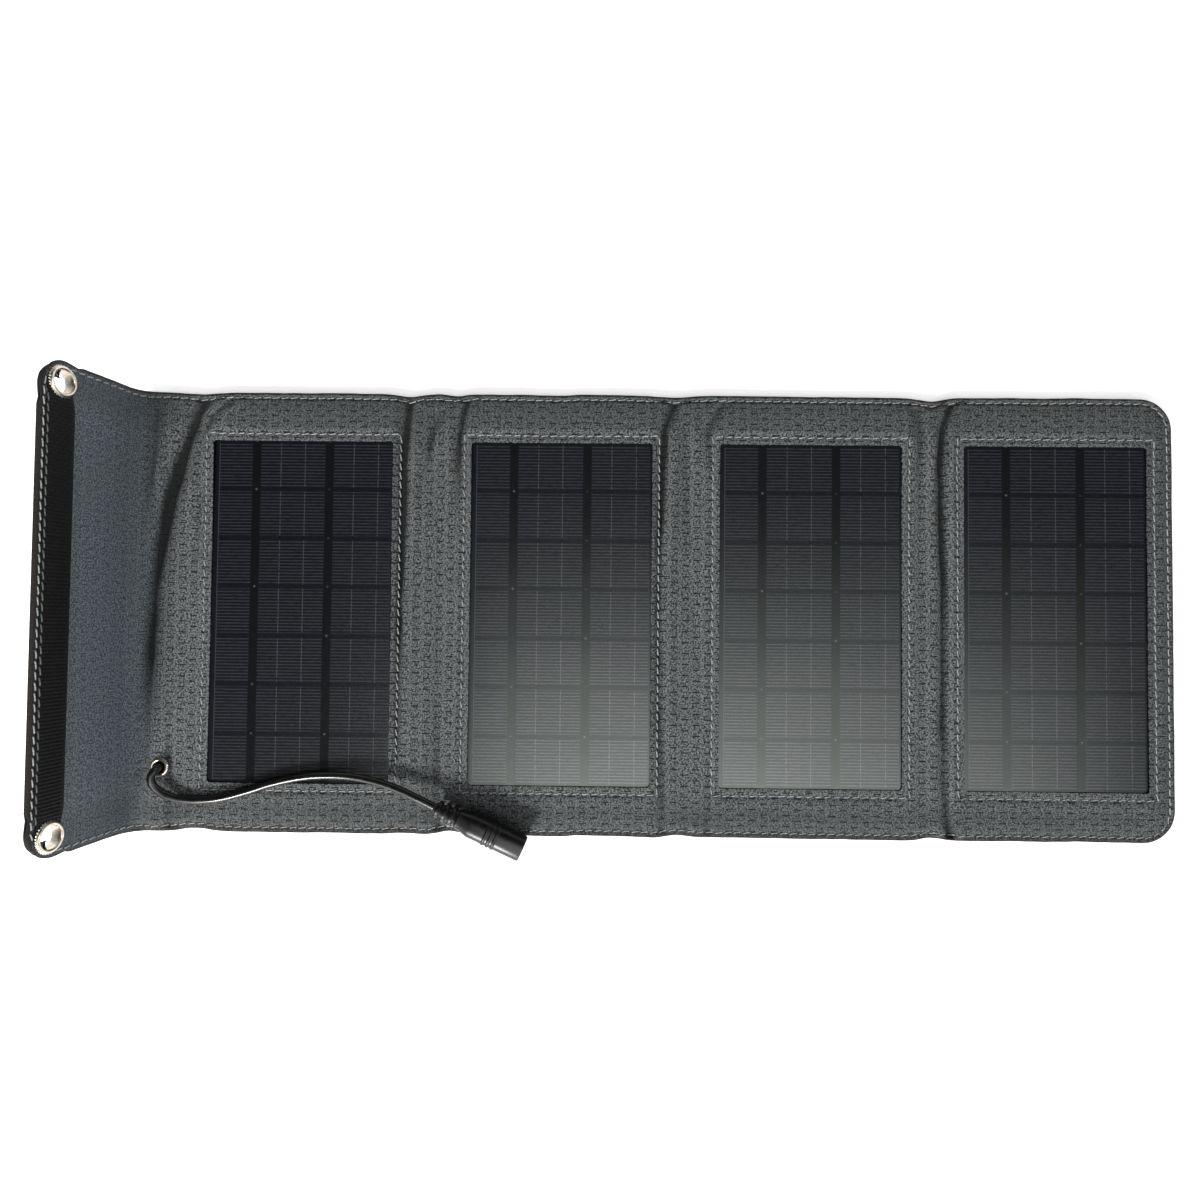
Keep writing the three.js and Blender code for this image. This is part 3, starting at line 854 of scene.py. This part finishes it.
def round_corners(s, y, openings):
    """Moves the grid of lines so that squares become openings and outer corners are round."""
    for middle_s, middle_y, half_s, half_y, radius in openings:
        a = np.abs(s - middle_s) - half_s + radius
        b = np.abs(y - middle_y) - half_y + radius
        most = np.maximum(a, b)
        near = (a > 0) & (b > 0) & (most < 2 * radius)
        share = drawn_in(a, b)
        share = np.where(most > radius, share + (1 - share) * (most - radius) / radius, share)
        s = np.where(near, middle_s + np.sign(s - middle_s) * (half_s - radius + a * share), s)
        y = np.where(near, middle_y + np.sign(y - middle_y) * (half_y - radius + b * share), y)
    return round_ends(s, y, ((RIGHT, 1, SHEET_CORNER), (TIP, -1, FLAP_CORNER)), HALF)


def grid_lines(stops, spacing, fine=0.5):
    """Lines through every stop, evenly spaced between them and closer where stops are close."""
    stops = sorted(set(round(v, 4) for v in stops))
    lines = [stops[0]]
    for low, high in zip(stops, stops[1:]):
        step = fine if high - low <= 3.1 else spacing
        count = max(1, round((high - low) / step))
        lines += [low + (high - low) * i / count for i in range(1, count + 1)]
    return np.array(lines)


def opening_stops(openings, axis):
    """The lines that an opening's edges and the ends of its rounded corners need."""
    stops = []
    for opening in openings:
        middle, half, radius = opening[axis], opening[axis + 2], opening[4]
        for side in (-1, 1):
            stops += [middle + side * half, middle + side * (half - radius)]
    return stops


# The cloth is made in five lengths that meet where it lies flat
SEAMS = [TIP, BEND - FLAP_ARC - 11.0, CENTRE[1], CENTRE[2], CENTRE[3], RIGHT]
FRONT_HOLES = WINDOWS + EYELET_HOLES + CORD_HOLES
HEM_STOPS = [0.0, 0.4, 0.9, 1.5, 2.0, 2.4, 2.8, 3.4]
END_STOPS = [place for h in HEM_STOPS for place in (RIGHT - h, TIP + h)]
EDGE_STOPS = [place for h in HEM_STOPS for place in (HALF - h, h - HALF)]
S_LINES = grid_lines(SEAMS + opening_stops(FRONT_HOLES, 0) + END_STOPS, 1.0)
Y_LINES = grid_lines([0.0] + opening_stops(FRONT_HOLES, 1) + EDGE_STOPS, 1.0)


def flap_point(along, up=1.0):
    """A place on the flap's straight length, in metres."""
    return tuple(along_sheet(np.array(BEND - FLAP_ARC - along), np.array(0.0), np.array(up)) * MM)


BLENDS = [
    ("flap_tip", "flap_spine", flap_point(26.2), flap_point(18.5)),
    ("flap_spine", "panel_1", (-0.2050, 0, 0.009), (-0.1930, 0, 0.0015)),
]
for n in FOLD:
    BLENDS.append((f"panel_{n}", f"panel_{n + 1}", ((FOLD[n] - WEB_HALF[n]) * MM, 0, 0.002),
                   ((FOLD[n] + WEB_HALF[n]) * MM, 0, 0.002)))

FRONT_NODES = [["flap_tip_front"], ["flap_spine_front", "flap_bend_front", "front_cover_1"]]
FRONT_NODES += [[f"front_web_{n}_{n + 1}", f"front_cover_{n + 1}"] for n in FOLD]
LENGTH_NAMES = ["flap_tip", "flap_and_panel_1"] + [f"panels_{n}_{n + 1}" for n in FOLD]


def closed_grid(lines_s, lines_y, top, bottom, place, bend=None, openings=()):
    """A closed sheet over a grid of lines, between two heights, with its openings cut out.

    Gives its points, its faces and the two numbers of the grid at each point.
    """
    s, y = np.meshgrid(lines_s, lines_y, indexing="ij")
    cell_s, cell_y = (s[1:, 1:] + s[:-1, 1:]) / 2, (y[1:, 1:] + y[1:, :-1]) / 2
    kept = np.ones(cell_s.shape, bool)
    for hole_s, hole_y, half_s, half_y, _ in openings:
        kept &= ~((np.abs(cell_s - hole_s) < half_s) & (np.abs(cell_y - hole_y) < half_y))
    if bend is not None:
        s, y = bend(s, y)
    upper = place(s, y, top(s, y)).reshape(-1, 3)
    under = place(s, y, bottom(s, y)).reshape(-1, 3)
    index = np.arange(s.size).reshape(s.shape)
    a, b, c, d = index[:-1, :-1], index[1:, :-1], index[1:, 1:], index[:-1, 1:]
    quads = [np.stack([a, b, c, d], -1)[kept], np.stack([d, c, b, a], -1)[kept] + s.size]
    padded = np.pad(kept, 1)
    for start, stop, neighbour in (
            (d, a, padded[:-2, 1:-1]), (b, c, padded[2:, 1:-1]),
            (a, b, padded[1:-1, :-2]), (c, d, padded[1:-1, 2:])):
        rim = kept & ~neighbour
        quads.append(np.stack([stop[rim], start[rim], start[rim] + s.size, stop[rim] + s.size], -1))
    quads = np.concatenate(quads)
    used, renumbered = np.unique(quads, return_inverse=True)
    places = np.tile(np.stack([s, y], -1).reshape(-1, 2), (2, 1))[used]
    return np.concatenate([upper, under])[used], renumbered.reshape(quads.shape).tolist(), places


def on_cloth(s, y, w):
    return along_sheet(*settle(s, y), w)


def on_flat(x, y, z):
    return np.stack([x, y, z], -1)


def level(height):
    """The same height at every place."""
    return lambda s, y: np.full(s.shape, height)


def front_under(s, y):
    return front_top(s, y) - CLOTH


def back_upper(s, y):
    return np.minimum(back_bottom(s, y) + CLOTH, front_under(s, y) - 0.03)


def blend_length(piece):
    """Bakes a piece's placement into its mesh."""
    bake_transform(piece)


def cloth_length(number, side):
    """One length of the front or back cloth, as a closed sheet with its openings cut out."""
    low_s, high_s = SEAMS[number], SEAMS[number + 1]
    holes = FRONT_HOLES if side == "front" else EYELET_HOLES
    here = [h for h in holes if low_s < h[0] - h[2] + 1 and h[0] + h[2] - 1 < high_s]
    partly = [h for h in holes if h not in here and h[0] + h[2] > low_s and h[0] - h[2] < high_s]
    heights = (front_top, front_under) if side == "front" else (back_upper, back_bottom)
    lines = S_LINES[(S_LINES >= low_s - 1e-3) & (S_LINES <= high_s + 1e-3)]
    *skin, places = closed_grid(lines, Y_LINES, *heights, on_cloth,
                                lambda s, y: round_corners(s, y, here + partly), here + partly)
    material = FRONT if side == "front" else BACK
    piece = new_object(f"{side}_cloth_{LENGTH_NAMES[number]}", skin, material, 55)
    add_uv(piece, places)
    add_number(piece, "edge", edge_distance(places[:, 0], places[:, 1]))
    if side == "front":
        # crease depth, which the front cloth's material uses for the painted shade in the creases
        add_number(piece, "crease", creases(places[:, 0], places[:, 1]))
    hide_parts(*(n.replace("front", side) for n in FRONT_NODES[number]))
    blend_length(piece)


for number in range(5):
    cloth_length(number, "front")
    cloth_length(number, "back")


# ---- stitching

def rounded_path(low_s, high_s, half_y, radii):
    """Outline from the lower left corner round to it again: radii at its left and right corners."""
    points = []
    for turn, right, up in ((-90, 1, -1), (0, 1, 1), (90, 0, 1), (180, 0, -1)):
        radius = radii[right]
        middle_s = high_s - radius if right else low_s + radius
        middle_y = up * (half_y - radius)
        for step in range(9):
            angle = math.radians(turn + 90 * step / 8)
            points.append((middle_s + radius * math.cos(angle), middle_y + radius * math.sin(angle)))
    points.append(points[0])
    return np.array(points)


def walk(path):
    """Middles and directions of stitches set at an even pitch along a path."""
    lengths = np.linalg.norm(np.diff(path, axis=0), axis=1)
    reach = np.concatenate([[0], np.cumsum(lengths)])
    count = max(1, round(reach[-1] / STITCH_PITCH))
    at = (np.arange(count) + 0.5) * reach[-1] / count
    middle, ahead, behind = (
        np.stack([np.interp(at + step, reach, path[:, k]) for k in (0, 1)], -1) for step in (0, 0.4, -0.4))
    direction = ahead - behind
    return middle, direction / np.linalg.norm(direction, axis=1)[:, None]


STITCH_STEPS = np.array([-1.0, -0.82, -0.62, 0.0, 0.62, 0.82, 1.0])
STITCH_SIDES = 6
STITCH_HALF = 1.85
THREAD_RADIUS = 0.25
STITCH_REACH = np.repeat(np.abs(STITCH_STEPS), STITCH_SIDES)
STITCH_SLANT = math.radians(9)


def stitch(middle, direction, height, side):
    """One stitch: a thread that rises from the cloth and dips back into it."""
    cos, sin = math.cos(STITCH_SLANT), math.sin(STITCH_SLANT)
    along = direction @ np.array([[cos, sin], [-sin, cos]])
    s, y = middle[:, None] + np.outer(along, STITCH_STEPS * STITCH_HALF)
    base = height(s, y) + side * (0.20 - 0.45 * STITCH_STEPS ** 4)
    radius = THREAD_RADIUS * np.sqrt(np.clip(1.06 - STITCH_STEPS ** 6, 0.06, 1))
    out = np.outer(radius, np.cos(around(STITCH_SIDES))) * side
    up = np.outer(radius, np.sin(around(STITCH_SIDES)))
    return rings_mesh(on_cloth(s[:, None] - out * along[1], y[:, None] + out * along[0], base[:, None] + up))


def in_hole(place, openings, margin):
    return any(abs(place[0] - h[0]) < h[2] + margin and abs(place[1] - h[1]) < h[3] + margin
               for h in openings)


def stitches_piece(name, stitches, material):
    piece = new_object(name, joined(stitches), material, 70)
    add_number(piece, "reach", np.tile(STITCH_REACH, len(stitches)))
    return piece


def stitch_rows():
    """Every row of stitches, as (middles, directions)."""
    corners = (FLAP_CORNER - FLAP_STITCH, SHEET_CORNER - HEM_STITCH)
    paths = [rounded_path(TIP + FLAP_STITCH, RIGHT - HEM_STITCH, HALF - HEM_STITCH, corners)]
    half_s, half_y = WINDOW_HALF_X + WINDOW_STITCH, WINDOW_HALF_Y + WINDOW_STITCH
    paths += [rounded_path(CENTRE[n] - half_s, CENTRE[n] + half_s, half_y, (0.8, 0.8)) for n in PANELS]
    return [walk(path) for path in paths]


def make_stitches(side_name, height, side):
    lengths = [[] for _ in range(5)]
    for middles, directions in stitch_rows():
        for middle, direction in zip(middles, directions):
            if in_hole(middle, EYELET_HOLES, 0.4):
                continue
            number = int(np.clip(np.searchsorted(SEAMS, middle[0]) - 1, 0, 4))
            lengths[number].append(stitch(middle, direction, height, side))
    for number, parts in enumerate(lengths):
        piece = stitches_piece(f"{side_name}_stitches_{LENGTH_NAMES[number]}", parts, THREAD)
        blend_length(piece)


make_stitches("front", front_top, 1)
make_stitches("back", back_bottom, -1)


# ---- laminates

def make_laminate(n):
    """The clear sheet over the cells, very slightly uneven, with softened edges."""
    half_x, half_y = WINDOW_HALF_X + LAMINATE_UNDER, WINDOW_HALF_Y + LAMINATE_UNDER
    low, high = LAMINATE[n][0].z, LAMINATE[n][1].z

    def top(x, y):
        rim = np.minimum(half_x - np.abs(x), half_y - np.abs(y))
        wave = 0.035 * ripple(x + 90 * n, y, 24.0, 31) + 0.012 * ripple(x + 90 * n, y, 9.0, 32)
        crown = 0.05 * (1 - (x / half_x) ** 2) * (1 - (y / half_y) ** 2)
        return high - 0.06 + crown + wave * smooth(rim, 0, 3) - 0.15 * (1 - smooth(rim, 0, 0.5))

    columns = np.concatenate([[-1.0, -0.992], np.linspace(-0.98, 0.98, 29), [0.992, 1.0]]) * half_x
    rows = np.concatenate([[-1.0, -0.996], np.linspace(-0.985, 0.985, 51), [0.996, 1.0]]) * half_y
    *skin, places = closed_grid(columns, rows, top, level(low), lambda x, y, z: on_flat(x + CENTRE[n], y, z))
    piece = new_object(f"laminate_{n}", skin, GLASS, 50)
    add_uv(piece, places)
    hand_in(piece, "laminate", f"panel_{n}", f"clear_sheet_{n}")


for n in PANELS:
    make_laminate(n)


# ---- hook and loop strips

# One hook's rings, from its root: height, lean and half thickness
HOOK_RINGS = [(0.3, 0.0, 0.20), (0.75, 0.0, 0.16), (1.05, 0.12, 0.15), (1.15, 0.38, 0.13), (1.0, 0.55, 0.08)]


def from_eyelet(s, y):
    return math.hypot(s - EYELET_S, abs(y) - EYELET_ACROSS)


def make_hook_strip():
    """Woven tape with cross ribs between its selvedges, and a hook on every crossing."""
    low_s, high_s = BEND - FLAP_ARC - HOOK_HIGH, BEND - FLAP_ARC - HOOK_LOW
    half, rib, selvedge = HALF - 2.0, 1.3, 1.4
    ends = ((low_s, -1, HOOK_RADII[0]), (high_s, 1, HOOK_RADII[1]))

    def bend(s, y):
        return round_ends(*round_corners(s, y, EYELET_HOLES), ends, half)

    def high(s, y):
        inside = np.minimum(s - low_s, high_s - s)
        ribs = (0.5 + 0.5 * np.cos(y * TURN / rib)) * smooth(inside, selvedge - 0.4, selvedge)
        return HOOK_BASE + 0.35 + 0.28 * ribs - 0.1 * bell(inside, 0.4)

    holes_s = [EYELET_S - EYELET_HOLE, EYELET_S, EYELET_S + EYELET_HOLE]
    lines_s = grid_lines([low_s, low_s + 1.2, *holes_s, high_s], 0.5)
    stops = (EYELET_ACROSS - EYELET_HOLE, EYELET_ACROSS + EYELET_HOLE, half)
    lines_y = grid_lines([side * place for place in stops for side in (-1, 1)], 0.22, 0.22)
    parts = [closed_grid(lines_s, lines_y, high, level(HOOK_BASE), along_sheet, bend, EYELET_HOLES)[:2]]
    cos, sin = np.cos(around(4)), np.sin(around(4))
    rows = round(2 * half / rib)
    columns = 8
    for row in range(1, rows):
        y = -half + row * 2 * half / rows
        for column in range(columns):
            s = low_s + selvedge + 0.5 + (high_s - low_s - 2 * selvedge - 1.0) * column / (columns - 1)
            if from_eyelet(s, y) < 7.4 or corner_distance(half - abs(y), s - low_s, HOOK_RADII[0]) < 0.8:
                continue
            side = 1 if (row + column) % 2 else -1
            parts.append(rings_mesh([
                along_sheet(s + thick * cos + side * lean, y + thick * sin, np.full(4, HOOK_BASE + up))
                for up, lean, thick in HOOK_RINGS
            ]))
    hand_in(new_object("hook_tape", joined(parts), HOOK_TAPE, 50), "hook_tape", "flap_tip", "hook_strip")
    row = walk(np.array([(low_s + 0.8, 7.5 - half), (low_s + 0.8, half - 7.5)]))
    stitches = [stitch(m, d, high, 1) for m, d in zip(*row) if from_eyelet(*m) > 8.2]
    hand_in(stitches_piece("hook_tape_stitches", stitches, DARK_THREAD), "front_fabric", "flap_tip")


def make_loop_strip():
    """Brushed loop tape on the back of the last panel: a ground with rows of small loops."""
    low, high = node_box("loop_strip")
    rng = np.random.default_rng(41)
    lines_s = grid_lines([low.x, low.x + 1.2, high.x - 1.2, high.x], 0.7, 0.4)
    lines_y = np.linspace(low.y, high.y, 201)

    def face(s, y):
        inside = np.minimum(np.minimum(s - low.x, high.x - s), np.minimum(y - low.y, high.y - y))
        return -0.05 - 0.25 * smooth(inside, 0.6, 1.8) * (1 + 0.5 * ripple(s, y, 1.4, 42))

    parts = [closed_grid(lines_s, lines_y, level(0.3), face, on_flat)[:2]]
    turns = np.linspace(0, math.pi, 6)
    for _ in range(900):
        x, y = rng.uniform(low.x + 1.6, high.x - 1.6), rng.uniform(low.y + 1.6, high.y - 1.6)
        heading, size = rng.uniform(0, math.pi), rng.uniform(0.35, 0.6)
        out = size * np.cos(turns)
        drop = -0.15 - size * 0.9 * np.sin(turns)
        centres = on_flat(x + out * math.cos(heading), y + out * math.sin(heading), drop)
        parts.append(rings_mesh(sweep(centres, np.full(6, 0.07), 4)))
    hand_in(new_object("loop_tape", joined(parts), LOOP_TAPE, 50), "loop_tape", "panel_4", "loop_strip")


make_hook_strip()
make_loop_strip()


# ---- eyelets

FLAP_UP = np.array([math.sin(FLAP_ANGLE), 0, math.cos(FLAP_ANGLE)])


def rolled_lip(middle, top, out, up, start, count):
    """The outer profile of a rolled rim, from its outside over its top."""
    return [(middle + out * math.cos(a), top + up * math.sin(a)) for a in np.linspace(start, math.pi, count)]


def make_hanging_eyelet(place, side):
    """Grommet with a rolled lip, the toothed ring under it, and the washer behind."""
    centre = Vector(along_sheet(np.array(EYELET_S), np.array(side * EYELET_ACROSS), np.array(0.0)))
    top = 2.75
    lip = rolled_lip(4.85, top, 0.65, 0.5, -0.5, 12)
    profile = [(4.8, -1.0), (4.8, 2.3), *lip, (4.2, top - 0.5), (4.2, -0.9), (4.4, -1.15)]
    ring_profile = [(4.9, 2.05), (5.5, 2.05), (6.0, 2.1), (6.0, 2.3), (5.5, 2.6), (4.9, 2.6)]
    washer_profile = [(4.95, -0.2), (6.5, -0.15), (6.55, -0.45), (5.9, -0.95), (5.2, -1.1), (4.95, -0.9)]
    grommet = lathe(f"grommet_{place}", profile, centre, FLAP_UP, NICKEL)
    ring = lathe(f"toothed_ring_{place}", ring_profile, centre, FLAP_UP, NICKEL, 136, (34, 5.9, 0.45))
    washer = lathe(f"back_washer_{place}", washer_profile, centre, FLAP_UP, NICKEL)
    hand_in(grommet, "nickel", "flap_tip", f"hanging_eyelet_{place}")
    hand_in(ring, "nickel", "flap_tip")
    hand_in(washer, "nickel", "flap_tip", f"hanging_washer_{place}")


make_hanging_eyelet("upper", 1)
make_hanging_eyelet("lower", -1)


def make_cord_eyelet():
    profile = [(2.6, 0.9), (2.6, 3.4), *rolled_lip(3.05, 3.85, 0.75, 0.6, -0.4, 10), (2.2, 3.6), (2.2, 0.9)]
    ring = lathe("lead_eyelet", profile, CORD_EYELET, (0, 0, 1), NICKEL, 72)
    hand_in(ring, "nickel", "panel_1", "cord_eyelet")


make_cord_eyelet()


# ---- inside pieces

def make_flat_lead(n):
    """The ribbon that joins neighbouring strings across a fold."""
    low, high = node_box(f"flat_lead_{n}_{n + 1}")
    middle = (low.z + high.z) / 2

    def top(s, y):
        return middle + 0.05 + 0.03 * ripple(s, y, 3.0, 51)

    *skin, _ = closed_grid(np.linspace(low.x, high.x, 25), np.linspace(low.y, high.y, 7), top,
                           level(middle - 0.08), on_flat)
    lead = new_object(f"flat_ribbon_{n}_{n + 1}", skin, COPPER, 50)
    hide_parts(f"flat_lead_{n}_{n + 1}")
    blend_length(lead)


for n in FOLD:
    make_flat_lead(n)


def paint_inside():
    """Materials for the CAD nodes that stay as they are."""
    finishes = {"backing_board": (BOARD, "board"), "cell_string": (CELLS, "cells"),
                "junction_board": (CIRCUIT, "circuit_board"), "blocking_diode": (BLACK, "black_plastic"),
                "inner_lead": (CORD_RUBBER, "cord_rubber")}
    for name, node in frame["nodes"].items():
        for start, (material, slot) in finishes.items():
            if name.startswith(start):
                node.data.materials.clear()
                node.data.materials.append(material)


paint_inside()


# ---- floor and light

def make_floor():
    f = Finish("floor", (0.9, 0.9, 0.9), 0.75, Emission_Strength=0.5, Emission_Color=(1, 1, 1, 1))
    places = f.body_places(1.0)
    f.colour(f.mix(f.noise(places, 3.0, 2.0), (0.90, 0.90, 0.90), (0.92, 0.92, 0.915)))
    half, under = 4000, -0.9
    corners = [(-half, -half, under), (half, -half, under), (half, half, under), (-half, half, under)]
    new_object("floor", (corners, [(0, 1, 2, 3)]), f.material)


def add_light(name, kind, place, direction, power, colour):
    """A light at a place that shines in a direction. Gives its data."""
    data = bpy.data.lights.new(name, kind)
    data.energy = power
    data.color = colour
    light = bpy.data.objects.new(name, data)
    light.location = place
    light.rotation_euler = direction.to_track_quat("-Z", "Y").to_euler()
    bpy.context.scene.collection.objects.link(light)
    return data


def area_light(name, place, target, size, power, colour=(1, 1, 1)):
    data = add_light(name, "AREA", place, Vector(target) - Vector(place), power, colour)
    data.shape = "RECTANGLE"
    data.size, data.size_y = size


def make_light():
    world = bpy.data.worlds.new("studio")
    world.use_nodes = True
    tree = world.node_tree
    tree.nodes["Background"].inputs["Color"].default_value = (0.95, 0.98, 1.0, 1)
    split = tree.nodes.new("ShaderNodeSeparateXYZ")
    feed(split.inputs[0], tree.nodes.new("ShaderNodeTexCoord").outputs["Generated"])
    low = Field(tree, split.outputs[2]).below(0.4, 0.25)
    feed(tree.nodes["Background"].inputs["Strength"], low * 0.72 + 0.03)
    bpy.context.scene.world = world
    softbox()
    area_light("key", (-0.56, -1.2, 0.9), (0, 0, 0), (0.4, 0.4), 38, (1.0, 0.99, 0.97))
    area_light("low_front", (0.0, -1.25, 0.5), (0, 0, 0.0), (2.0, 0.85), 10)
    flap_light((0.75, -0.05, 0.62), 20)


def softbox():
    """One large overhead light that fades towards +X and towards +Y, in steps."""
    for left, right, across in ((-0.34, 0.5, 1.0), (0.5, 0.8, 0.8), (0.8, 1.15, 0.6)):
        for near, far, along in ((-1.25, -0.33, 1.0), (-0.33, -0.1, 0.5), (-0.1, 0.12, 0.14)):
            middle = ((left + right) / 2, (near + far) / 2)
            size = (right - left, far - near)
            power = 10.2 * across * along * size[0] * size[1]
            area_light("softbox", (*middle, 1.5), (*middle, 0), size, power)


def flap_light(place, power):
    """Light from the right that is shaded off so that only the standing flap gets it."""
    data = add_light("flap_light", "SPOT", place, Vector((-1, 0, -0.115)), power, (0.93, 0.97, 1.0))
    data.spot_size = math.radians(54.8)
    data.spot_blend = 0.05
    data.shadow_soft_size = 0.04


make_floor()
make_light()
bpy.context.scene.view_settings.view_transform = "Standard"
